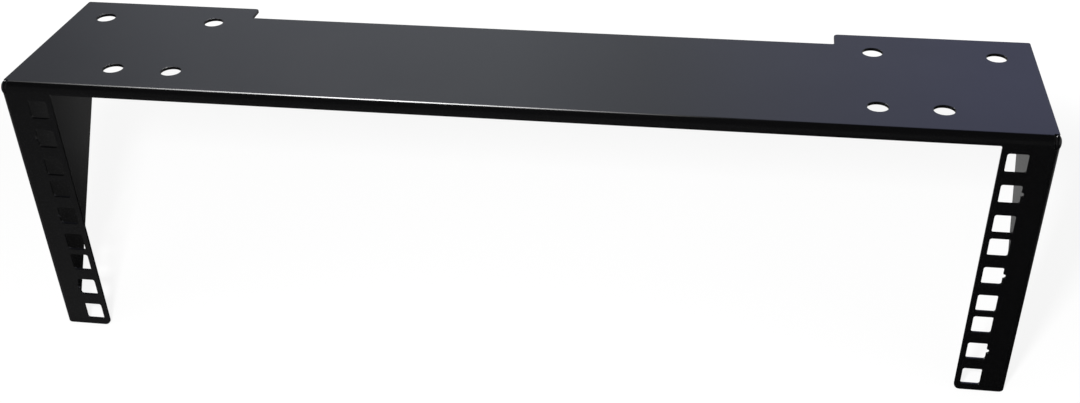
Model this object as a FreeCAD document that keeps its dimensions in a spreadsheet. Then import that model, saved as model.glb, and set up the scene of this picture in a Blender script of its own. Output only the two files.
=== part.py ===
import FreeCAD, Part
import math
import os

import Sketcher

# Wall mount rack bracket: one folded and punched steel sheet.
# Frame: +Z up out of the wall face, -Y out of the front of the rails, X along the width.
# The origin is on the wall face, at the centre of the pattern of wall holes. Millimetres.

DIMENSIONS = [
    ("sheet_thickness", 1.5, "thickness of the steel sheet"),
    ("front_bend_radius", 3.0, "inside radius of the front fold"),
    ("side_bend_radius", 1.5, "inside radius of the side folds"),
    ("rail_spacing", 465.1, "distance between the two columns of rail holes"),
    ("rail_hole_size", 9.5, "side of a square rail hole"),
    ("rail_hole_radius", 1.0, "corner of a rail hole"),
    ("hole_step", 15.875, "pitch of the holes inside one rack unit"),
    ("holes_per_unit", 3, "rail holes in one rack unit"),
    ("unit_step", 12.7, "pitch from the last hole of a unit to the first of the next"),
    ("unit_count", 3, "rack units that the legs hold"),
    ("mark_radius", 1.3, "half-round unit mark beside each middle hole"),
    ("first_hole_margin", 8.3, "lower edge of the lip to the centre of the first rail hole"),
    ("leg_end_margin", 8.5, "last rail hole centre to the end of the leg"),
    ("opening_margin", 7.55, "rail hole centre to the inner edge of the leg"),
    ("side_margin", 17.45, "rail hole centre to the outer face of the side"),
    ("opening_corner_radius", 1.0, "corner between the lip and a leg"),
    ("leg_corner_radius", 3.0, "inner lower corner of a leg"),
    ("lip_straight", 0.5, "flat part of the lip, below the front fold"),
    ("relief_height", 0.5, "lower edge of the lip to the top of a side fold"),
    ("gusset_seam", 0.4, "gap between the plate and the top edge of a gusset"),
    ("gusset_heel", 12.5, "wall face to the start of the sloping edge of a gusset"),
    ("gusset_foot", 13.5, "depth of a gusset at the end of the leg"),
    ("wall_hole_diameter", 10.0, "wall screw holes"),
    ("front_row_setback", 23.0, "front of the rails to the front row of wall holes"),
    ("wall_row_spacing", 60.0, "distance between the front and back rows of wall holes"),
    ("front_pair_pitch", 30.0, "pitch of the two front wall holes at one end"),
    ("back_pair_pitch", 60.0, "pitch of the two back wall holes at one end"),
    ("wall_hole_margin", 19.0, "outer wall hole of the back row to the side face"),
    ("ear_margin", 18.5, "inner wall hole of the back row to the end of its ear"),
    ("back_row_margin", 20.0, "back row of wall holes to the back of the ears"),
    ("ear_rise", 12.0, "how far the ears stand behind the middle of the back edge"),
    ("ear_corner_radius", 2.0, "free corner of each ear"),
    ("ear_root_radius", 1.0, "inner corner beside each ear"),
    ("plate_corner_radius", 1.0, "outer back corners of the plate"),
    ("plate_inset", 0.5, "side face to the side edge of the plate"),
    ("corner_cut_depth", 0.2, "how far a front corner's cut runs behind the front fold"),
    ("weld_width", 3.7, "corner weld, along the width"),
    ("weld_length", 6.8, "corner weld, along its bead"),
    ("weld_thickness", 4.7, "corner weld, through its bead"),
    ("weld_lean", 28.0, "lean of the corner weld, in degrees"),
    ("weld_inset", 1.45, "side face to the centre of the weld"),
    ("weld_setback", 3.05, "front face to the centre of the weld"),
    ("weld_drop", 3.3, "wall face to the centre of the weld"),
]

# Places worked out from the driving dimensions, as expressions on the sheet.
FRONT_RADIUS = "(Sizes.front_bend_radius + Sizes.sheet_thickness)"
SIDE_RADIUS = "(Sizes.side_bend_radius + Sizes.sheet_thickness)"
RAIL_X = "Sizes.rail_spacing / 2"
HALF_WIDTH = f"({RAIL_X} + Sizes.side_margin)"
SIDE_INNER = f"({HALF_WIDTH} - Sizes.sheet_thickness)"
SIDE_TANGENT = f"({HALF_WIDTH} - {SIDE_RADIUS})"
PLATE_EDGE = f"({HALF_WIDTH} - Sizes.plate_inset)"
HALF_ROW = "Sizes.wall_row_spacing / 2"
SETBACK = f"(Sizes.front_row_setback + {HALF_ROW})"
FRONT = f"-{SETBACK}"
FRONT_INNER = f"(Sizes.sheet_thickness - {SETBACK})"
FRONT_TANGENT = f"({FRONT_RADIUS} - {SETBACK})"
SIDE_FOLD_END = f"({SIDE_RADIUS} - {SETBACK})"
CUT_BACK = f"({FRONT_TANGENT} + Sizes.corner_cut_depth)"
BACK = f"({HALF_ROW} + Sizes.back_row_margin)"
BACK_MIDDLE = f"({BACK} - Sizes.ear_rise)"
INNER_HOLE_X = f"({HALF_WIDTH} - Sizes.wall_hole_margin - Sizes.back_pair_pitch)"
EAR_END = f"({INNER_HOLE_X} - Sizes.ear_margin)"
LIP_DROP = f"({FRONT_RADIUS} + Sizes.lip_straight)"
SIDE_FOLD_DROP = f"({LIP_DROP} + Sizes.relief_height)"
SEAM_DROP = "(Sizes.sheet_thickness + Sizes.gusset_seam)"
HALF_HOLE = "Sizes.rail_hole_size / 2"
FIRST_HOLE_DROP = f"({LIP_DROP} + Sizes.first_hole_margin)"
UNIT_SPAN = "((Sizes.holes_per_unit - 1) * Sizes.hole_step)"
UNIT_PITCH = f"({UNIT_SPAN} + Sizes.unit_step)"
LEG_DROP = (
    f"({FIRST_HOLE_DROP} + (Sizes.unit_count - 1) * {UNIT_PITCH}"
    f" + {UNIT_SPAN} + Sizes.leg_end_margin)"
)


def make_sheet(doc):
    """Spreadsheet of driving dimensions, one alias for each."""
    sheet = doc.addObject("Spreadsheet::Sheet", "Sizes")
    for row, (alias, value, meaning) in enumerate(DIMENSIONS, start=1):
        sheet.set(f"A{row}", alias)
        sheet.set(f"B{row}", str(value))
        sheet.set(f"C{row}", meaning)
        sheet.setAlias(f"B{row}", alias)
    doc.recompute()
    return sheet


def origin_feature(body, role):
    """One of the planes and axes of the body's own origin."""
    for feature in body.Origin.OriginFeatures:
        if feature.Role == role:
            return feature
    raise RuntimeError(f"no origin feature {role}")


def new_sketch(body, name, role, offset=None):
    """Sketch on an origin plane, moved along the plane's normal by an expression."""
    sketch = body.newObject("Sketcher::SketchObject", name)
    sketch.AttachmentSupport = [(origin_feature(body, role), "")]
    sketch.MapMode = "FlatFace"
    if offset:
        sketch.setExpression("AttachmentOffset.Base.z", offset)
    return sketch


def bind_distance(sketch, kind, point, expression):
    """Tie a point's distance from the sketch origin, along one axis, to an expression."""
    value = float(sketch.evalExpression(expression))
    if value < 0:
        ends = (*point, -1, 1)
        expression = f"-({expression})"
    else:
        ends = (-1, 1, *point)
    index = sketch.addConstraint(Sketcher.Constraint(kind, *ends, abs(value)))
    sketch.setExpression(f"Constraints[{index}]", expression)


def bind_point(sketch, point, across=None, up=None):
    """Tie a point's place in the sketch to expressions; the text 0 puts it on the axis."""
    for kind, expression, axis in (("DistanceX", across, -2), ("DistanceY", up, -1)):
        if expression == "0":
            sketch.addConstraint(Sketcher.Constraint("PointOnObject", *point, axis))
        elif expression:
            bind_distance(sketch, kind, point, expression)


def add_arc(sketch, start, end, radius, turn):
    """Arc of under half a circle from start to end; turn is 1 to the left, -1 to the right."""
    chord = end - start
    left = FreeCAD.Vector(-chord.y, chord.x, 0).normalize()
    centre = (start + end) * 0.5 + left * turn * math.sqrt(radius ** 2 - chord.Length ** 2 / 4)
    first, last = (start, end) if turn > 0 else (end, start)
    angles = [math.atan2(p.y - centre.y, p.x - centre.x) for p in (first, last)]
    circle = Part.Circle(centre, FreeCAD.Vector(0, 0, 1), radius)
    return sketch.addGeometry(Part.ArcOfCircle(circle, *angles))


def outline(sketch, corners):
    """
    Closed outline through corners (across, up), each an expression.
    A corner (across, up, radius, turn) starts an arc to the next corner.
    """
    points = [
        FreeCAD.Vector(float(sketch.evalExpression(c[0])), float(sketch.evalExpression(c[1])), 0)
        for c in corners
    ]
    starts = []
    ends = []
    for i, corner in enumerate(corners):
        start, end = points[i], points[(i + 1) % len(points)]
        if len(corner) == 2:
            index = sketch.addGeometry(Part.LineSegment(start, end))
            first, last = 1, 2
        else:
            radius, turn = corner[2:]
            index = add_arc(sketch, start, end, float(sketch.evalExpression(radius)), turn)
            first, last = (1, 2) if turn > 0 else (2, 1)
        starts.append((index, first))
        ends.append((index, last))
    for i, end in enumerate(ends):
        sketch.addConstraint(Sketcher.Constraint("Coincident", *end, *starts[(i + 1) % len(starts)]))
    for i, corner in enumerate(corners):
        across, up = corner[:2]
        before = corners[i - 1]
        if i > 0 and len(before) == 2 and before[1] == up:
            sketch.addConstraint(Sketcher.Constraint("Horizontal", starts[i - 1][0]))
            up = None
        elif i > 0 and len(before) == 2 and before[0] == across:
            sketch.addConstraint(Sketcher.Constraint("Vertical", starts[i - 1][0]))
            across = None
        bind_point(sketch, starts[i], across, up)
        if len(corner) > 2:
            radius = float(sketch.evalExpression(corner[2]))
            index = sketch.addConstraint(Sketcher.Constraint("Radius", starts[i][0], radius))
            sketch.setExpression(f"Constraints[{index}]", corner[2])


def add_circle(sketch, across, up, radius):
    """Circle placed and sized by expressions."""
    centre = FreeCAD.Vector(float(sketch.evalExpression(across)), float(sketch.evalExpression(up)), 0)
    size = float(sketch.evalExpression(radius))
    index = sketch.addGeometry(Part.Circle(centre, FreeCAD.Vector(0, 0, 1), size))
    bind_point(sketch, (index, 3), across, up)
    constraint = sketch.addConstraint(Sketcher.Constraint("Radius", index, size))
    sketch.setExpression(f"Constraints[{constraint}]", radius)


def extrude(body, kind, name, sketch, length, reverse=False, both_ways=False):
    """Pad or Pocket of a sketch to a length given as an expression."""
    feature = body.newObject(f"PartDesign::{kind}", name)
    feature.Profile = sketch
    feature.Reversed = reverse
    if both_ways:
        feature.SideType = "Symmetric"
    feature.setExpression("Length", length)
    sketch.Document.recompute()
    return feature


def mirror(body, name, originals):
    """The same features on the other side of the middle plane."""
    feature = body.newObject("PartDesign::Mirrored", name)
    feature.Originals = originals
    feature.MirrorPlane = (origin_feature(body, "YZ_Plane"), [""])
    body.Tip = feature
    body.Document.recompute()
    return feature


def repeat_down(body, name, count, pitch):
    """Step of a repeat: copies down the leg at a pitch, both given as expressions."""
    step = body.newObject("PartDesign::LinearPattern", name)
    step.Direction = (origin_feature(body, "Z_Axis"), [""])
    step.Reversed = True
    step.Mode = "Spacing"
    step.setExpression("Offset", pitch)
    step.setExpression("Occurrences", count)
    return step


def repeat(body, name, original, steps):
    """Repeat a feature by several steps, one after the other, and on the other leg."""
    other_leg = body.newObject("PartDesign::Mirrored", f"{name}OtherLeg")
    other_leg.MirrorPlane = (origin_feature(body, "YZ_Plane"), [""])
    feature = body.newObject("PartDesign::MultiTransform", name)
    feature.Originals = [original]
    feature.Transformations = [*steps, other_leg]
    body.Tip = feature
    body.Document.recompute()
    return feature


def make_plate(body):
    """Flat plate against the wall, with cut front corners and an ear at each end of its back edge."""
    sketch = new_sketch(body, "PlateOutline", "XY_Plane")
    corner = "Sizes.plate_corner_radius"
    ear = "Sizes.ear_corner_radius"
    root = "Sizes.ear_root_radius"
    right = [
        (SIDE_TANGENT, FRONT_TANGENT),
        (SIDE_TANGENT, CUT_BACK),
        (PLATE_EDGE, CUT_BACK),
        (PLATE_EDGE, f"({BACK} - {corner})", corner, 1),
        (f"({PLATE_EDGE} - {corner})", BACK),
        (f"({EAR_END} + {ear})", BACK, ear, 1),
        (EAR_END, f"({BACK} - {ear})"),
        (EAR_END, f"({BACK_MIDDLE} + {root})", root, -1),
        (f"({EAR_END} - {root})", BACK_MIDDLE),
    ]
    left = [
        (f"-({EAR_END} - {root})", BACK_MIDDLE, root, -1),
        (f"-{EAR_END}", f"({BACK_MIDDLE} + {root})"),
        (f"-{EAR_END}", f"({BACK} - {ear})", ear, 1),
        (f"-({EAR_END} + {ear})", BACK),
        (f"-({PLATE_EDGE} - {corner})", BACK, corner, 1),
        (f"-{PLATE_EDGE}", f"({BACK} - {corner})"),
        (f"-{PLATE_EDGE}", CUT_BACK),
        (f"-{SIDE_TANGENT}", CUT_BACK),
        (f"-{SIDE_TANGENT}", FRONT_TANGENT),
    ]
    outline(sketch, right + left)
    return extrude(body, "Pad", "Plate", sketch, "Sizes.sheet_thickness", reverse=True)


def make_front_fold(body):
    """Fold along the front edge of the plate, ending in the low lip between the legs."""
    sketch = new_sketch(body, "FrontFoldSection", "YZ_Plane")
    outline(sketch, [
        (FRONT_TANGENT, "0", FRONT_RADIUS, 1),
        (FRONT, f"-{FRONT_RADIUS}"),
        (FRONT, f"-{LIP_DROP}"),
        (FRONT_INNER, f"-{LIP_DROP}"),
        (FRONT_INNER, f"-{FRONT_RADIUS}", "Sizes.front_bend_radius", -1),
        (FRONT_TANGENT, "-Sizes.sheet_thickness"),
    ])
    return extrude(body, "Pad", "FrontFold", sketch, f"2 * {SIDE_TANGENT}", both_ways=True)


def make_leg(body):
    """Flat of the right leg, from the lip down to its rounded inner corner."""
    sketch = new_sketch(body, "LegOutline", "XZ_Plane", SETBACK)
    inner = f"({RAIL_X} - Sizes.opening_margin)"
    top = "Sizes.opening_corner_radius"
    foot = "Sizes.leg_corner_radius"
    outline(sketch, [
        (f"({inner} - {top})", f"-{LIP_DROP}", top, -1),
        (inner, f"-({LIP_DROP} + {top})"),
        (inner, f"-({LEG_DROP} - {foot})", foot, 1),
        (f"({inner} + {foot})", f"-{LEG_DROP}"),
        (SIDE_TANGENT, f"-{LEG_DROP}"),
        (SIDE_TANGENT, f"-{LIP_DROP}"),
    ])
    return extrude(body, "Pad", "Leg", sketch, "Sizes.sheet_thickness", reverse=True)


def make_side_fold(body):
    """Fold down the outer edge of the right leg, below the cut at the front corner."""
    sketch = new_sketch(body, "SideFoldSection", "XY_Plane", f"-{SIDE_FOLD_DROP}")
    outline(sketch, [
        (SIDE_TANGENT, FRONT, SIDE_RADIUS, 1),
        (HALF_WIDTH, SIDE_FOLD_END),
        (SIDE_INNER, SIDE_FOLD_END, "Sizes.side_bend_radius", -1),
        (SIDE_TANGENT, FRONT_INNER),
    ])
    return extrude(body, "Pad", "SideFold", sketch, f"{LEG_DROP} - {SIDE_FOLD_DROP}", reverse=True)


def make_gusset(body):
    """Sloping side wall behind the right leg, under the end of the plate."""
    sketch = new_sketch(body, "GussetOutline", "YZ_Plane", SIDE_INNER)
    outline(sketch, [
        (SIDE_FOLD_END, f"-{SEAM_DROP}"),
        (SIDE_FOLD_END, f"-{LEG_DROP}"),
        (f"({FRONT} + Sizes.gusset_foot)", f"-{LEG_DROP}"),
        (BACK, "-Sizes.gusset_heel"),
        (BACK, f"-{SEAM_DROP}"),
    ])
    return extrude(body, "Pad", "Gusset", sketch, "Sizes.sheet_thickness")


def make_corner_weld(body):
    """Rounded weld bead that fills the cut at the right front corner."""
    bead = body.newObject("PartDesign::AdditiveEllipsoid", "CornerWeld")
    bead.setExpression("Radius1", "Sizes.weld_length / 2")
    bead.setExpression("Radius2", "Sizes.weld_width / 2")
    bead.setExpression("Radius3", "Sizes.weld_thickness / 2")
    bead.setExpression("Placement.Base.x", f"{HALF_WIDTH} - Sizes.weld_inset")
    bead.setExpression("Placement.Base.y", f"{FRONT} + Sizes.weld_setback")
    bead.setExpression("Placement.Base.z", "-Sizes.weld_drop")
    bead.Placement.Rotation = FreeCAD.Rotation(FreeCAD.Vector(-1, 0, 0), 1)
    bead.setExpression("Placement.Rotation.Angle", "Sizes.weld_lean")
    body.Document.recompute()
    return bead


def cut_rail_holes(body):
    """Square holes down both legs, at the rack's pitch, with a mark at each middle hole."""
    sketch = new_sketch(body, "RailHoleOutline", "XZ_Plane", SETBACK)
    radius = "Sizes.rail_hole_radius"
    near, far = f"({RAIL_X} - {HALF_HOLE})", f"({RAIL_X} + {HALF_HOLE})"
    top, low = f"-({FIRST_HOLE_DROP} - {HALF_HOLE})", f"-({FIRST_HOLE_DROP} + {HALF_HOLE})"
    outline(sketch, [
        (f"({near} + {radius})", low),
        (f"({far} - {radius})", low, radius, 1),
        (far, f"({low} + {radius})"),
        (far, f"({top} - {radius})", radius, 1),
        (f"({far} - {radius})", top),
        (f"({near} + {radius})", top, radius, 1),
        (near, f"({top} - {radius})"),
        (near, f"({low} + {radius})", radius, 1),
    ])
    hole = extrude(body, "Pocket", "RailHole", sketch, "Sizes.sheet_thickness")
    steps = [
        repeat_down(body, "HolesInUnit", "Sizes.holes_per_unit", "Sizes.hole_step"),
        repeat_down(body, "UnitsOfHoles", "Sizes.unit_count", UNIT_PITCH),
    ]
    repeat(body, "RailHoles", hole, steps)

    sketch = new_sketch(body, "UnitMarkOutline", "XZ_Plane", SETBACK)
    add_circle(sketch, far, f"-({FIRST_HOLE_DROP} + Sizes.hole_step)", "Sizes.mark_radius")
    mark = extrude(body, "Pocket", "UnitMark", sketch, "Sizes.sheet_thickness")
    steps = [repeat_down(body, "UnitsOfMarks", "Sizes.unit_count", UNIT_PITCH)]
    repeat(body, "UnitMarks", mark, steps)


def cut_wall_holes(body):
    """Round screw holes at each end of the plate, a wide pair behind a narrow one."""
    sketch = new_sketch(body, "WallHoleOutline", "XY_Plane")
    radius = "Sizes.wall_hole_diameter / 2"
    for across, up in (
        (INNER_HOLE_X, f"-{HALF_ROW}"),
        (f"{INNER_HOLE_X} + Sizes.front_pair_pitch", f"-{HALF_ROW}"),
        (INNER_HOLE_X, HALF_ROW),
        (f"{INNER_HOLE_X} + Sizes.back_pair_pitch", HALF_ROW),
    ):
        add_circle(sketch, across, up, radius)
    holes = extrude(body, "Pocket", "WallHoles", sketch, "Sizes.sheet_thickness")
    mirror(body, "OtherWallHoles", [holes])


def make_bracket(doc):
    """The whole bracket as one body."""
    body = doc.addObject("PartDesign::Body", "Bracket")
    body.Label = "bracket"
    make_plate(body)
    make_front_fold(body)
    side = [make_leg(body), make_side_fold(body), make_gusset(body), make_corner_weld(body)]
    mirror(body, "OtherSide", side)
    cut_rail_holes(body)
    cut_wall_holes(body)
    return body


def check(doc, bodies):
    """Stop if any feature failed or a body isn't one valid solid."""
    failed = [o.Name for o in doc.Objects if {"Invalid", "Error"} & set(o.State)]
    if failed:
        raise RuntimeError(f"failed features: {failed}")
    for body in bodies:
        if body.Shape.isNull() or not body.Shape.isValid() or len(body.Shape.Solids) != 1:
            raise RuntimeError(f"{body.Label} isn't one valid solid")


def main():
    doc = FreeCAD.newDocument("RackBracket")
    make_sheet(doc)
    bodies = [make_bracket(doc)]
    doc.recompute()
    check(doc, bodies)
    os.makedirs("parts", exist_ok=True)
    for body in bodies:
        body.Shape.exportStep(f"parts/{body.Label}.step")
        print(body.Label, "volume", round(body.Shape.Volume, 1), "box", body.Shape.BoundBox)


main()
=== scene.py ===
import math
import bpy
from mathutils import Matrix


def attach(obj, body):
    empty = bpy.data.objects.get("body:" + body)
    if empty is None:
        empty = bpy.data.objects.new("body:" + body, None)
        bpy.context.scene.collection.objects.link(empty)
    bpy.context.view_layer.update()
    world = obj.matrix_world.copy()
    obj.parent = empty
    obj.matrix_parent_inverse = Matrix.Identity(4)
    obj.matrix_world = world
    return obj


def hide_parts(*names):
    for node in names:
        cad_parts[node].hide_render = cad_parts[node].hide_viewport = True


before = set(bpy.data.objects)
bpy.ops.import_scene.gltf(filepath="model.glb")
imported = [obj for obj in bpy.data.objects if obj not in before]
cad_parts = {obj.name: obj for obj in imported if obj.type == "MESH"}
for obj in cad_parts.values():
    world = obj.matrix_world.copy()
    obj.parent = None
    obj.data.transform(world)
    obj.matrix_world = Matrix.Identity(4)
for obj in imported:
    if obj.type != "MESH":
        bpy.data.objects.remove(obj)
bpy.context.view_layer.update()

from types import SimpleNamespace

import bmesh
import bpy
from mathutils import Matrix, Vector

bl_info = {
    "name": "Wall mount rack bracket",
    "version": (1, 0, 0),
    "blender": (4, 5, 0),
    "location": "View3D > Sidebar > Bracket",
    "description": "Folds a rack bracket from a flat steel blank, coats it and sets it on a pale stage",
    "category": "Add Mesh",
}

CAD_NODE = "bracket"
BODY = "root"

MM = 0.001
RIGHT_ANGLE = math.pi / 2
TINY = 1e-6

FOLD_STEPS = 12
CORNER_STEPS = 6
EDGE_STEPS = 2
WALL_HOLE_STEPS = 64
WELD_STEPS_ROUND = 40
WELD_STEPS_ALONG = 28
HOLES_PER_UNIT = 3
FLAT_ANGLE = math.radians(0.5)
SHARP_ANGLE = math.radians(40)
FACE_WEIGHT = 100

# Grain of the coat: noise is read between two levels, and spreads the gloss and the shade a little.
NOISE_BAND = (0.3, 0.7)
CLOUD_SCALE = 22.0
GRAINS_PER_SWELL = 6.0
GRAIN_HEIGHT = 0.2
GLOSS_SPREAD = 0.02
SHADE_SPREAD = 0.15

# Stage: the floor's half width in metres, and its white, over 1 because a faint shadow is mixed in.
FLOOR_REACH = 6.0
FLOOR_WHITE = 1.06
WHITE = (1, 1, 1)
# Slope of the lines on the floor along which the painted shade that the left gusset mirrors keeps one
# brightness.
SLANT = 1.63
# The two soft lights behind the bracket: stops (share of the width from the right end, brightness).
PANEL_ROLL = math.radians(-3.0)
PANEL_STOPS = (
    (0.22, (0.395, 0.420, 0.669)),
    (0.35, (0.434, 0.459, 0.617)),
    (0.44, (0.436, 0.462, 0.530)),
    (0.535, (0.520, 0.552, 0.620)),
    (0.64, (0.468, 0.494, 0.562)),
    (0.76, (0.372, 0.393, 0.451)),
    (0.85, (0.232, 0.244, 0.285)),
    (1.00, (0.170, 0.180, 0.210)),
)
STRIP_STOPS = (
    (0.00, 0),
    (0.115, 2.67),
    (0.19, 6.4),
    (0.27, 13.4),
    (0.43, 28.6),
    (0.60, 13.8),
    (0.745, 6.84),
    (0.82, 3.22),
    (0.91, 0.92),
    (1.00, 0.54),
)


def length(name, description, millimetres):
    """A size that a user may change, shown in the scene's units."""
    return bpy.props.FloatProperty(
        name=name, description=description, default=millimetres * MM, precision=5, unit="LENGTH"
    )


def share(name, description, default):
    """A plain number from 0 to 1."""
    return bpy.props.FloatProperty(
        name=name, description=description, default=default, min=0.0, max=1.0, subtype="FACTOR"
    )


def strength(name, description, default):
    """A plain number that isn't negative."""
    return bpy.props.FloatProperty(name=name, description=description, default=default, min=0.0)


def colour(name, description, default):
    """A linear colour."""
    return bpy.props.FloatVectorProperty(
        name=name, description=description, default=default, size=3, min=0.0, max=1.0, subtype="COLOR"
    )


def place(name, description, millimetres):
    """A point in the bracket's frame."""
    return bpy.props.FloatVectorProperty(
        name=name,
        description=description,
        default=tuple(x * MM for x in millimetres),
        size=3,
        precision=5,
        subtype="TRANSLATION",
    )


class BracketSizes(bpy.types.PropertyGroup):
    """Driving sizes of the folded sheet and its holes."""

    sheet_thickness: length("Sheet thickness", "Thickness of the steel sheet", 1.5)
    front_bend_radius: length("Front bend radius", "Inside radius of the front fold", 3.0)
    side_bend_radius: length("Side bend radius", "Inside radius of the side folds", 1.5)
    coated_edge: length("Coated edge", "Radius that the coat leaves on a cut edge", 0.22)
    rail_spacing: length("Rail spacing", "Distance between the columns of rail holes", 465.1)
    rail_hole_size: length("Rail hole size", "Side of a square rail hole", 9.5)
    rail_hole_radius: length("Rail hole radius", "Corner of a rail hole", 1.0)
    hole_step: length("Hole step", "Pitch of the holes inside one rack unit", 15.875)
    unit_step: length("Unit step", "Pitch from one unit's last hole to the next unit's first", 12.7)
    unit_count: bpy.props.IntProperty(
        name="Rack units", description="Rack units that the legs hold", default=3, min=1
    )
    mark_radius: length("Mark radius", "Half-round mark beside each unit's middle hole", 1.3)
    first_hole_margin: length("First hole margin", "Lower edge of the lip to the first hole", 8.3)
    leg_end_margin: length("Leg end margin", "Last rail hole to the end of the leg", 8.5)
    opening_margin: length("Opening margin", "Rail hole to the inner edge of the leg", 7.55)
    side_margin: length("Side margin", "Rail hole to the outer face of the side", 17.45)
    opening_corner_radius: length("Opening corner", "Corner between the lip and a leg", 1.0)
    leg_corner_radius: length("Leg corner", "Inner lower corner of a leg", 3.0)
    lip_straight: length("Lip", "Flat part of the lip below the front fold", 0.5)
    relief_height: length("Relief", "Lower edge of the lip to the top of a side fold", 0.5)
    gusset_seam: length("Gusset seam", "Gap between the plate and the top of a gusset", 0.4)
    gusset_heel: length("Gusset heel", "Wall face to the start of a gusset's slope", 12.5)
    gusset_foot: length("Gusset foot", "Depth of a gusset at the end of the leg", 13.5)
    wall_hole_diameter: length("Wall hole diameter", "Wall screw holes", 10.0)
    front_row_setback: length("Front row setback", "Rail front to the front row of wall holes", 23.0)
    wall_row_spacing: length("Wall row spacing", "Distance between the rows of wall holes", 60.0)
    front_pair_pitch: length("Front pair pitch", "Pitch of the front wall holes at one end", 30.0)
    back_pair_pitch: length("Back pair pitch", "Pitch of the back wall holes at one end", 60.0)
    wall_hole_margin: length("Wall hole margin", "Outer back wall hole to the side face", 19.0)
    ear_margin: length("Ear margin", "Inner back wall hole to the end of its ear", 18.5)
    back_row_margin: length("Back row margin", "Back wall holes to the back of the ears", 20.0)
    ear_rise: length("Ear rise", "How far the ears stand behind the back edge", 12.0)
    ear_corner_radius: length("Ear corner", "Free corner of each ear", 2.0)
    ear_root_radius: length("Ear root", "Inner corner beside each ear", 1.0)
    plate_corner_radius: length("Plate corner", "Outer back corners of the plate", 1.0)
    plate_inset: length("Plate inset", "Side face to the side edge of the plate", 0.5)
    corner_cut_depth: length("Corner cut", "How far a corner's cut runs behind the front fold", 0.2)


class WeldSizes(bpy.types.PropertyGroup):
    """Sizes and place of the bead that closes each front corner."""

    width: length("Width", "Bead across the corner", 3.7)
    bead_length: length("Length", "Bead along its own line", 6.8)
    thickness: length("Thickness", "Bead through its own line", 4.7)
    lean: bpy.props.FloatProperty(
        name="Lean", description="Lean of the bead's line", default=math.radians(28.0), subtype="ANGLE"
    )
    inset: length("Inset", "Side face to the centre of the bead", 1.45)
    setback: length("Setback", "Front face to the centre of the bead", 3.05)
    drop: length("Drop", "Wall face to the centre of the bead", 3.3)


class CoatFinish(bpy.types.PropertyGroup):
    """Black powder coat with a faint orange peel."""

    pigment: colour("Pigment", "Colour of the coat", (0.0022, 0.0022, 0.0024))
    roughness: share("Roughness", "Mean roughness of the cured coat", 0.14)
    gloss: share("Gloss", "Specular level of the cured coat", 0.5)
    peel_size: length("Peel size", "Width of one swell of the orange peel", 1.4)
    peel_height: length("Peel height", "Height of the orange peel", 0.004)


class StageSettings(bpy.types.PropertyGroup):
    """Floor, soft lights and the camera."""

    floor_colour: colour("Floor", "Pale floor", (0.97, 0.97, 0.97))
    ambient: strength("Ambient", "Even light from all round", 0.4)
    camera_place: place("Camera", "Place of the camera", (110.96, -597.21, 277.55))
    camera_turn: bpy.props.FloatVectorProperty(
        name="Camera turn",
        description="Turn of the camera about X, Y and Z",
        default=tuple(math.radians(x) for x in (53.407, 0.849, 8.209)),
        size=3,
        subtype="EULER",
    )
    lens: bpy.props.FloatProperty(
        name="Lens", description="Focal length on a 36 mm sensor", default=44.0, unit="CAMERA"
    )
    frame_shift: bpy.props.FloatVectorProperty(
        name="Frame shift",
        description="Crop of the picture, as a share of its width",
        default=(-0.02248, 0.13007),
        size=2,
    )


def blank_places(sizes):
    """Lines and edges of the flat blank, worked out once for all its outlines and folds."""
    p = SimpleNamespace()
    front_radius = sizes.front_bend_radius + sizes.sheet_thickness
    side_radius = sizes.side_bend_radius + sizes.sheet_thickness
    p.front_facet, p.side_facet = (
        2 * radius * math.sin(RIGHT_ANGLE / FOLD_STEPS / 2) for radius in (front_radius, side_radius)
    )
    half_row = sizes.wall_row_spacing / 2

    p.rail = sizes.rail_spacing / 2
    p.opening = p.rail - sizes.opening_margin
    p.half_width = p.rail + sizes.side_margin
    p.front = -(sizes.front_row_setback + half_row)
    p.back = half_row + sizes.back_row_margin
    p.back_middle = p.back - sizes.ear_rise
    p.front_row, p.back_row = -half_row, half_row
    p.outer_hole = p.half_width - sizes.wall_hole_margin
    p.inner_hole = p.outer_hole - sizes.back_pair_pitch
    p.front_hole = p.inner_hole + sizes.front_pair_pitch
    p.ear_end = p.inner_hole - sizes.ear_margin

    p.front_line = p.front + front_radius
    p.side_line = p.half_width - side_radius
    p.plate_edge = p.half_width - sizes.plate_inset
    p.cut_back = p.front_line + sizes.corner_cut_depth
    # A height on the leg, or a depth on the gusset, is added to these to find its place on the blank.
    p.leg_zero = p.front_line - FOLD_STEPS * p.front_facet + front_radius
    p.gusset_front = p.side_line + FOLD_STEPS * p.side_facet
    p.gusset_zero = p.gusset_front - (p.front + side_radius)

    lip_drop = front_radius + sizes.lip_straight
    unit_span = (HOLES_PER_UNIT - 1) * sizes.hole_step
    unit_pitch = unit_span + sizes.unit_step
    p.hole_heights = [
        -(lip_drop + sizes.first_hole_margin + unit * unit_pitch + hole * sizes.hole_step)
        for unit in range(sizes.unit_count)
        for hole in range(HOLES_PER_UNIT)
    ]
    p.leg_end = p.hole_heights[-1] - sizes.leg_end_margin
    p.lip_edge = p.leg_zero - lip_drop
    p.leg_edge = p.leg_zero + p.leg_end
    p.seam_edge = p.leg_zero - (sizes.sheet_thickness + sizes.gusset_seam)
    p.relief_edge = p.lip_edge - sizes.relief_height
    return p


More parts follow.
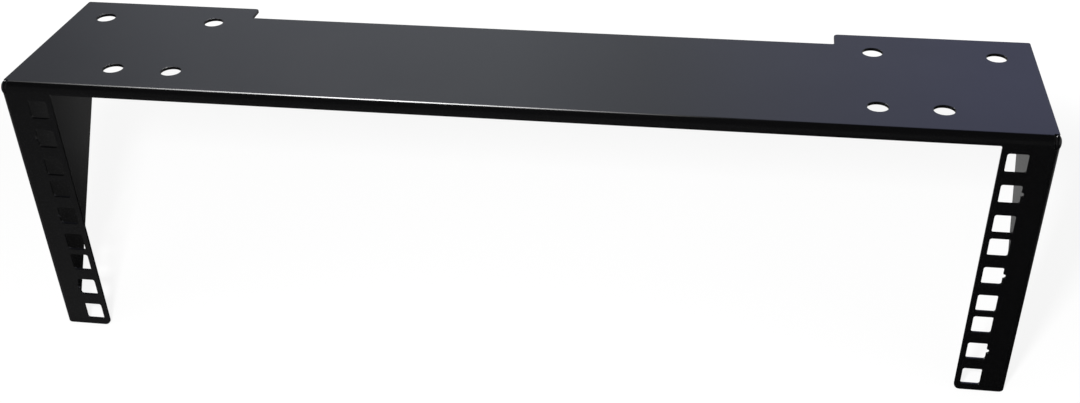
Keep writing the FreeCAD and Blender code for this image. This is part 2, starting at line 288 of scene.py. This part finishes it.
def blank_corners(sizes, p):
    """Right half of the blank's outline, as corners (across, along, radius)."""
    gusset_back = p.gusset_zero + p.back
    gusset_foot = p.gusset_zero + p.front + sizes.gusset_foot
    return [
        (0, p.lip_edge, 0),
        (p.opening, p.lip_edge, sizes.opening_corner_radius),
        (p.opening, p.leg_edge, sizes.leg_corner_radius),
        (gusset_foot, p.leg_edge, 0),
        (gusset_back, p.leg_zero - sizes.gusset_heel, 0),
        (gusset_back, p.seam_edge, 0),
        (p.gusset_front, p.seam_edge, 0),
        (p.gusset_front, p.relief_edge, 0),
        (p.side_line, p.relief_edge, 0),
        (p.side_line, p.cut_back, 0),
        (p.plate_edge, p.cut_back, 0),
        (p.plate_edge, p.back, sizes.plate_corner_radius),
        (p.ear_end, p.back, sizes.ear_corner_radius),
        (p.ear_end, p.back_middle, sizes.ear_root_radius),
        (0, p.back_middle, 0),
    ]


def rail_hole_corners(sizes, p, height, marked):
    """Square rail hole as corners (across, along, radius), with a half-round mark on its outer side."""
    half = sizes.rail_hole_size / 2
    radius = sizes.rail_hole_radius
    along = p.leg_zero + height
    near, far = p.rail - half, p.rail + half
    mark = sizes.mark_radius
    notch = [
        (far, along - mark, 0),
        (far + mark, along - mark, mark - TINY),
        (far + mark, along + mark, mark - TINY),
        (far, along + mark, 0),
    ]
    return [
        (near, along - half, radius),
        (far, along - half, radius),
        *(notch if marked else []),
        (far, along + half, radius),
        (near, along + half, radius),
    ]


def add_loop(bm, corners):
    """Closed loop of edges through corners (across, along, radius), rounded where the radius isn't 0."""
    verts = [bm.verts.new((across, along, 0)) for across, along, _ in corners]
    bm.faces.new(verts)
    for radius in {corner[2] for corner in corners if corner[2]}:
        bmesh.ops.bevel(
            bm,
            geom=[vert for vert, corner in zip(verts, corners) if corner[2] == radius],
            offset=radius,
            segments=CORNER_STEPS,
            profile=0.5,
            affect="VERTICES",
            material=-1,
        )
    bmesh.ops.delete(bm, geom=bm.faces[:], context="FACES_ONLY")


def cut_blank(bm, sizes, p):
    """Right half of the flat blank, with its holes, as one face region on the XY plane."""
    add_loop(bm, blank_corners(sizes, p))
    for number, height in enumerate(p.hole_heights):
        marked = number % HOLES_PER_UNIT == HOLES_PER_UNIT // 2
        add_loop(bm, rail_hole_corners(sizes, p, height, marked))
    for across, along in (
        (p.inner_hole, p.front_row),
        (p.front_hole, p.front_row),
        (p.inner_hole, p.back_row),
        (p.outer_hole, p.back_row),
    ):
        bmesh.ops.create_circle(
            bm,
            segments=WALL_HOLE_STEPS,
            radius=sizes.wall_hole_diameter / 2,
            matrix=Matrix.Translation((across, along, 0)),
        )
    bmesh.ops.triangle_fill(bm, use_beauty=True, edges=bm.edges[:], normal=(0, 0, 1))


def fold(bm, lines, axis, beyond):
    """Turn what lies beyond each line by its share of a right angle, from the last line to the first."""
    step = RIGHT_ANGLE / FOLD_STEPS
    for number in reversed(range(len(lines))):
        turn = step / 2 if number in (0, FOLD_STEPS) else step
        bmesh.ops.rotate(
            bm, cent=lines[number], matrix=Matrix.Rotation(turn, 3, axis), verts=beyond[number]
        )


def fold_blank(bm, p):
    """Fold the gusset back from the leg, and then the leg down from the plate."""
    side_lines = [Vector((p.side_line + k * p.side_facet, 0, 0)) for k in range(FOLD_STEPS + 1)]
    front_lines = [Vector((0, p.front_line - k * p.front_facet, 0)) for k in range(FOLD_STEPS + 1)]
    for lines, normal in ((side_lines, (1, 0, 0)), (front_lines, (0, 1, 0))):
        for line in lines:
            geometry = bm.verts[:] + bm.edges[:] + bm.faces[:]
            bmesh.ops.bisect_plane(bm, geom=geometry, dist=TINY, plane_co=line, plane_no=normal)

    flat = [(vert, vert.co.x, vert.co.y) for vert in bm.verts]
    off_plate = [(vert, x, y) for vert, x, y in flat if y < p.front_line - TINY]
    beyond_side = [[v for v, x, y in off_plate if x > line.x + TINY] for line in side_lines]
    beyond_front = [
        [v for v, x, y in off_plate if y < line.y - TINY or x > p.side_line + TINY]
        for line in front_lines
    ]
    fold(bm, side_lines, "Y", beyond_side)
    fold(bm, front_lines, "X", beyond_front)


def finish_piece(name, bm, material):
    """Object from a bmesh, smooth, coated and carried by the bracket's body."""
    mesh = bpy.data.meshes.new(name)
    bm.to_mesh(mesh)
    bm.free()
    mesh.shade_smooth()
    mesh.materials.append(material)
    piece = bpy.data.objects.new(name, mesh)
    bpy.context.scene.collection.objects.link(piece)
    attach(piece, BODY)
    return piece


def add_node(tree, kind, inputs=None, **settings):
    """Shader node with its settings; an input given as a socket is linked, else set."""
    node = tree.nodes.new(kind)
    for key, value in settings.items():
        setattr(node, key, value)
    for key, value in (inputs or {}).items():
        if isinstance(value, bpy.types.NodeSocket):
            tree.links.new(value, node.inputs[key])
        else:
            node.inputs[key].default_value = value
    return node


def fade(tree, value, start, end, before, after, smooth=False):
    """Number that runs from before to after while a value goes from start to end."""
    node = add_node(
        tree,
        "ShaderNodeMapRange",
        {"Value": value, "From Min": start, "From Max": end, "To Min": before, "To Max": after},
        interpolation_type="SMOOTHSTEP" if smooth else "LINEAR",
    )
    return node.outputs["Result"]


def combine(tree, operation, *numbers):
    """Numbers joined by one operation, from the first to the last."""
    result = numbers[0]
    for number in numbers[1:]:
        node = add_node(tree, "ShaderNodeMath", {0: result, 1: number}, operation=operation)
        result = node.outputs["Value"]
    return result


def size_of(tree, number):
    """Number without its sign."""
    return add_node(tree, "ShaderNodeMath", {0: number}, operation="ABSOLUTE").outputs["Value"]


def noise(tree, point, scale, detail, roughness):
    """Noise of a scale, as a number about one half."""
    inputs = {"Vector": point, "Scale": scale, "Detail": detail, "Roughness": roughness}
    return add_node(tree, "ShaderNodeTexNoise", inputs).outputs["Fac"]


def powder_coat(finish):
    """Satin black powder coat: soft orange peel, fine grain and slightly uneven gloss."""
    material = bpy.data.materials.get("black_powder_coat")
    if material:
        return material
    material = bpy.data.materials.new("black_powder_coat")
    material.use_nodes = True
    tree = material.node_tree
    tree.nodes.clear()
    point = add_node(tree, "ShaderNodeTexCoord").outputs["Object"]

    cloud = noise(tree, point, CLOUD_SCALE, detail=3.0, roughness=0.5)
    peel = noise(tree, point, 1.0 / finish.peel_size, detail=1.5, roughness=0.45)
    grain = noise(tree, point, GRAINS_PER_SWELL / finish.peel_size, detail=2.0, roughness=0.6)
    uneven_gloss = fade(
        tree, cloud, *NOISE_BAND, finish.roughness - GLOSS_SPREAD, finish.roughness + GLOSS_SPREAD
    )
    shade = fade(tree, grain, *NOISE_BAND, 1.0 - SHADE_SPREAD, 1.0 + SHADE_SPREAD)
    pigment = add_node(
        tree, "ShaderNodeVectorMath", {0: tuple(finish.pigment), "Scale": shade}, operation="SCALE"
    )
    fine = add_node(
        tree,
        "ShaderNodeBump",
        {"Height": grain, "Distance": finish.peel_height * GRAIN_HEIGHT, "Strength": 1.0},
    )
    swells = add_node(
        tree,
        "ShaderNodeBump",
        {
            "Height": peel,
            "Distance": finish.peel_height,
            "Strength": 1.0,
            "Normal": fine.outputs["Normal"],
        },
    )
    coat = add_node(
        tree,
        "ShaderNodeBsdfPrincipled",
        {
            "Base Color": pigment.outputs["Vector"],
            "Roughness": uneven_gloss,
            "Specular IOR Level": finish.gloss,
            "Normal": swells.outputs["Normal"],
        },
    )
    add_node(tree, "ShaderNodeOutputMaterial", {"Surface": coat.outputs["BSDF"]})
    return material


def seen_directly(tree):
    """1 for rays from the camera, from a gloss or through glass, and 0 for those that only light."""
    path = add_node(tree, "ShaderNodeLightPath")
    rays = [path.outputs[name] for name in ("Is Camera Ray", "Is Glossy Ray", "Is Transmission Ray")]
    return combine(tree, "MAXIMUM", *rays)


def seen_in_gloss(tree):
    """1 for rays from a gloss, and 0 for the others."""
    return add_node(tree, "ShaderNodeLightPath").outputs["Is Glossy Ray"]


def painted_floor_reflection(tree, point):
    """Brightness of the floor in the coat: painted shade, darkest under the bracket and before its right
    leg.
    """
    spot = add_node(tree, "ShaderNodeSeparateXYZ", {"Vector": point})
    across, along = spot.outputs["X"], spot.outputs["Y"]
    slant = combine(tree, "SUBTRACT", along, combine(tree, "MULTIPLY", across, SLANT))

    # Behind the legs: painted shade that the gussets and the cut edges of the legs mirror.
    rising = fade(tree, along, -0.03, 0.148, 0.003, 0.0987)
    under_edges = fade(tree, slant, 0.330, 0.358, 0.05, 1.0)
    right_half = fade(tree, across, -0.07, 0.0, 0.0, 1.0)
    past_corner = fade(tree, slant, 0.386, 0.427, 1.0, 2.2)
    to_right = fade(tree, across, -0.10, 0.20, 1.0, 3.7)
    clear = combine(tree, "MAXIMUM", under_edges, right_half)
    behind = combine(tree, "MULTIPLY", rising, clear, past_corner, to_right)

    # Before the legs: painted shade that their fronts mirror.
    front_only = fade(tree, along, -0.06, -0.02, 1.0, 0.0)
    nearing = fade(tree, along, -0.30, -0.07, 0.087, 0.171)
    to_left = fade(tree, across, -0.15, 0.25, 1.0, 0.03)
    before = combine(tree, "MULTIPLY", front_only, nearing, to_left)

    # Beside the bracket: painted shade that its outer sides mirror.
    outward = fade(tree, size_of(tree, across), 0.32, 0.60, 0.0, 0.5)
    past_front = fade(tree, along, -0.12, 0.0, 0.0, 1.0)
    beside = combine(tree, "MULTIPLY", outward, past_front)
    return combine(tree, "MAXIMUM", behind, before, beside)


def pale_floor(settings):
    """Floor that the camera sees white, with a faint shadow, and that the coat mirrors darker, with
    painted shade.
    """
    material = bpy.data.materials.new("pale_floor")
    material.use_nodes = True
    tree = material.node_tree
    tree.nodes.clear()
    point = add_node(tree, "ShaderNodeTexCoord").outputs["Object"]
    oval = add_node(tree, "ShaderNodeVectorMath", {0: point, 1: (0.6, 1.0, 0.0)}, operation="MULTIPLY")
    reach = add_node(tree, "ShaderNodeVectorMath", {0: oval.outputs["Vector"]}, operation="LENGTH")
    white_share = fade(tree, reach.outputs["Value"], 0.28, 0.42, 0.8, 1.0, smooth=True)
    mirrored = seen_in_gloss(tree)
    white_share = combine(tree, "MAXIMUM", white_share, mirrored)
    plain = combine(tree, "MULTIPLY", seen_directly(tree), white_share)
    # In the gloss the floor's brightness is painted shade, darkest near the bracket.
    brightness = fade(tree, mirrored, 0.0, 1.0, FLOOR_WHITE, painted_floor_reflection(tree, point))
    shaded = add_node(tree, "ShaderNodeBsdfDiffuse", {"Color": (*settings.floor_colour, 1.0)})
    white = add_node(tree, "ShaderNodeEmission", {"Color": (*WHITE, 1), "Strength": brightness})
    mix = add_node(
        tree,
        "ShaderNodeMixShader",
        {"Fac": plain, 1: shaded.outputs["BSDF"], 2: white.outputs["Emission"]},
    )
    add_node(tree, "ShaderNodeOutputMaterial", {"Surface": mix.outputs["Shader"]})
    return material


def white_world(ambient):
    """Even light, white to the camera, and in the coat a dim room with paler side walls."""
    world = bpy.data.worlds.new("white_world")
    world.use_nodes = True
    tree = world.node_tree
    tree.nodes.clear()
    direction = add_node(tree, "ShaderNodeTexCoord").outputs["Generated"]
    toward = add_node(tree, "ShaderNodeSeparateXYZ", {"Vector": direction})
    ceiling = fade(tree, toward.outputs["Z"], 0.5, 0.8, 1.0, 0.2, smooth=True)
    walls = fade(tree, size_of(tree, toward.outputs["X"]), 0.53, 0.70, 0.06, 0.5)
    room = fade(tree, seen_in_gloss(tree), 0.0, 1.0, 1.0, walls)
    brightness = combine(tree, "MULTIPLY", ceiling, room)
    even = add_node(tree, "ShaderNodeBackground", {"Color": (*WHITE, 1), "Strength": ambient})
    white = add_node(tree, "ShaderNodeBackground", {"Color": (*WHITE, 1), "Strength": brightness})
    mix = add_node(
        tree,
        "ShaderNodeMixShader",
        {"Fac": seen_directly(tree), 1: even.outputs["Background"], 2: white.outputs["Background"]},
    )
    add_node(tree, "ShaderNodeOutputWorld", {"Surface": mix.outputs["Shader"]})
    return world


def add_softbox(name, location, target, size, radiance):
    """Soft light that faces a target; its brightness, by colour, doesn't change with its size."""
    light = bpy.data.lights.new(name, "AREA")
    light.shape = "RECTANGLE"
    light.size, light.size_y = size
    peak = max(radiance)
    light.energy = peak * math.pi * size[0] * size[1]
    light.color = [x / peak for x in radiance]
    lamp = bpy.data.objects.new(name, light)
    lamp.location = location
    lamp.rotation_euler = (Vector(target) - Vector(location)).to_track_quat("-Z", "Y").to_euler()
    lamp.visible_camera = False
    bpy.context.scene.collection.objects.link(lamp)
    return lamp


def grade_across(light, stops):
    """Grade a soft light across its width by stops (share from its right end, radiance)."""
    light.use_nodes = True
    tree = light.node_tree
    tree.nodes.clear()
    spot = add_node(tree, "ShaderNodeNewGeometry").outputs["Parametric"]
    across = add_node(tree, "ShaderNodeSeparateXYZ", {"Vector": spot}).outputs["X"]
    ramp = add_node(tree, "ShaderNodeValToRGB", {"Fac": across})
    marks = ramp.color_ramp.elements
    while len(marks) < len(stops):
        marks.new(1.0)
    for mark, (share_across, radiance) in zip(marks, stops):
        mark.position = share_across
        mark.color = (*radiance, 1.0)
    glow = add_node(tree, "ShaderNodeEmission", {"Color": ramp.outputs["Color"], "Strength": 1.0})
    add_node(tree, "ShaderNodeOutputLight", {"Surface": glow.outputs["Emission"]})


class BRACKET_OT_folded_sheet(bpy.types.Operator):
    """Cut the flat blank, fold it and give it the thickness of the sheet"""

    bl_idname = "bracket.folded_sheet"
    bl_label = "Folded sheet"
    bl_options = {"REGISTER", "UNDO"}

    def execute(self, context):
        sizes = context.scene.bracket_sizes
        places = blank_places(sizes)
        bm = bmesh.new()
        cut_blank(bm, sizes, places)
        fold_blank(bm, places)
        bmesh.ops.mirror(bm, geom=bm.verts[:] + bm.edges[:] + bm.faces[:], axis="X", merge_dist=TINY)
        bmesh.ops.remove_doubles(bm, verts=bm.verts[:], dist=TINY)
        bmesh.ops.dissolve_limit(bm, angle_limit=FLAT_ANGLE, verts=bm.verts[:], edges=bm.edges[:])
        bmesh.ops.recalc_face_normals(bm, faces=bm.faces[:])
        top = max(bm.faces, key=lambda face: face.calc_area())
        if top.normal.z < 0:
            bmesh.ops.reverse_faces(bm, faces=bm.faces[:])

        sheet = finish_piece("folded_sheet", bm, powder_coat(context.scene.bracket_finish))
        wall = sheet.modifiers.new("sheet_thickness", "SOLIDIFY")
        wall.thickness = sizes.sheet_thickness
        wall.offset = -1.0
        wall.use_even_offset = True
        wall.use_quality_normals = True
        edge = sheet.modifiers.new("coated_edges", "BEVEL")
        edge.width = sizes.coated_edge
        edge.segments = EDGE_STEPS
        edge.limit_method = "ANGLE"
        edge.angle_limit = SHARP_ANGLE
        edge.use_clamp_overlap = False
        sheet.modifiers.new("flat_shading", "WEIGHTED_NORMAL").weight = FACE_WEIGHT
        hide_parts(CAD_NODE)
        return {"FINISHED"}


class BRACKET_OT_corner_welds(bpy.types.Operator):
    """Lay the coated weld bead that closes each front corner"""

    bl_idname = "bracket.corner_welds"
    bl_label = "Corner welds"
    bl_options = {"REGISTER", "UNDO"}

    def execute(self, context):
        weld = context.scene.bracket_weld
        places = blank_places(context.scene.bracket_sizes)
        size = Vector((weld.width, weld.thickness, weld.bead_length)) / 2
        bm = bmesh.new()
        for side in (-1, 1):
            centre = (side * (places.half_width - weld.inset), places.front + weld.setback, -weld.drop)
            turn = Matrix.Rotation(-weld.lean, 4, "X")
            matrix = Matrix.Translation(centre) @ turn @ Matrix.Diagonal((*size, 1.0))
            bmesh.ops.create_uvsphere(
                bm,
                u_segments=WELD_STEPS_ROUND,
                v_segments=WELD_STEPS_ALONG,
                radius=1.0,
                matrix=matrix,
            )
        finish_piece("corner_welds", bm, powder_coat(context.scene.bracket_finish))
        return {"FINISHED"}


class BRACKET_OT_stage(bpy.types.Operator):
    """Set the pale floor, the soft lights and the camera"""

    bl_idname = "bracket.stage"
    bl_label = "Stage"
    bl_options = {"REGISTER", "UNDO"}

    def execute(self, context):
        scene = context.scene
        settings = scene.bracket_stage
        places = blank_places(scene.bracket_sizes)

        bm = bmesh.new()
        ground = Matrix.Translation((0, 0, places.leg_end))
        bmesh.ops.create_grid(bm, size=FLOOR_REACH, x_segments=1, y_segments=1, matrix=ground)
        mesh = bpy.data.meshes.new("floor")
        bm.to_mesh(mesh)
        bm.free()
        mesh.materials.append(pale_floor(settings))
        floor = bpy.data.objects.new("floor", mesh)
        scene.collection.objects.link(floor)

        scene.world = white_world(settings.ambient)
        panel = add_softbox(
            "back_panel",
            location=(-0.20, 1.3, 0.817),
            target=(-0.20, 0, 0.817),
            size=(2.4, 0.76),
            radiance=WHITE,
        )
        panel.rotation_euler.rotate_axis("Z", PANEL_ROLL)
        panel.visible_diffuse = False
        grade_across(panel.data, PANEL_STOPS)
        strip = add_softbox(
            "back_strip",
            location=(-0.48, 0.75, 0.95),
            target=(-0.48, -0.05, 0),
            size=(1.08, 0.36),
            radiance=WHITE,
        )
        strip.visible_diffuse = False
        grade_across(strip.data, [(share_across, (grey,) * 3) for share_across, grey in STRIP_STOPS])
        key = add_softbox(
            "key",
            location=(-0.02, -0.60, 0.32),
            target=(0, -0.05, -0.05),
            size=(0.08, 0.08),
            radiance=(250, 250, 250),
        )
        key.visible_glossy = False

        camera = bpy.data.cameras.new("camera")
        camera.lens = settings.lens
        camera.shift_x, camera.shift_y = settings.frame_shift
        viewer = bpy.data.objects.new("camera", camera)
        viewer.location = settings.camera_place
        viewer.rotation_euler = settings.camera_turn
        scene.collection.objects.link(viewer)
        scene.camera = viewer
        scene.view_settings.view_transform = "Standard"
        return {"FINISHED"}


class BRACKET_PT_parts(bpy.types.Panel):
    """Pieces of the bracket and their settings"""

    bl_label = "Rack bracket"
    bl_idname = "BRACKET_PT_parts"
    bl_space_type = "VIEW_3D"
    bl_region_type = "UI"
    bl_category = "Bracket"

    def draw(self, context):
        layout = self.layout
        for operator in OPERATORS:
            layout.operator(operator.bl_idname)
        for name in GROUPS:
            settings = getattr(context.scene, name)
            box = layout.box()
            for key in settings.bl_rna.properties.keys():
                if key not in {"rna_type", "name"}:
                    box.prop(settings, key)


GROUPS = {
    "bracket_sizes": BracketSizes,
    "bracket_weld": WeldSizes,
    "bracket_finish": CoatFinish,
    "bracket_stage": StageSettings,
}
OPERATORS = (BRACKET_OT_folded_sheet, BRACKET_OT_corner_welds, BRACKET_OT_stage)
CLASSES = (*GROUPS.values(), *OPERATORS, BRACKET_PT_parts)


def register():
    for cls in CLASSES:
        bpy.utils.register_class(cls)
    for name, cls in GROUPS.items():
        setattr(bpy.types.Scene, name, bpy.props.PointerProperty(type=cls))


def unregister():
    for name in GROUPS:
        delattr(bpy.types.Scene, name)
    for cls in reversed(CLASSES):
        bpy.utils.unregister_class(cls)


def main():
    register()
    bpy.ops.bracket.folded_sheet()
    bpy.ops.bracket.corner_welds()
    bpy.ops.bracket.stage()


if __name__ == "__main__":
    main()
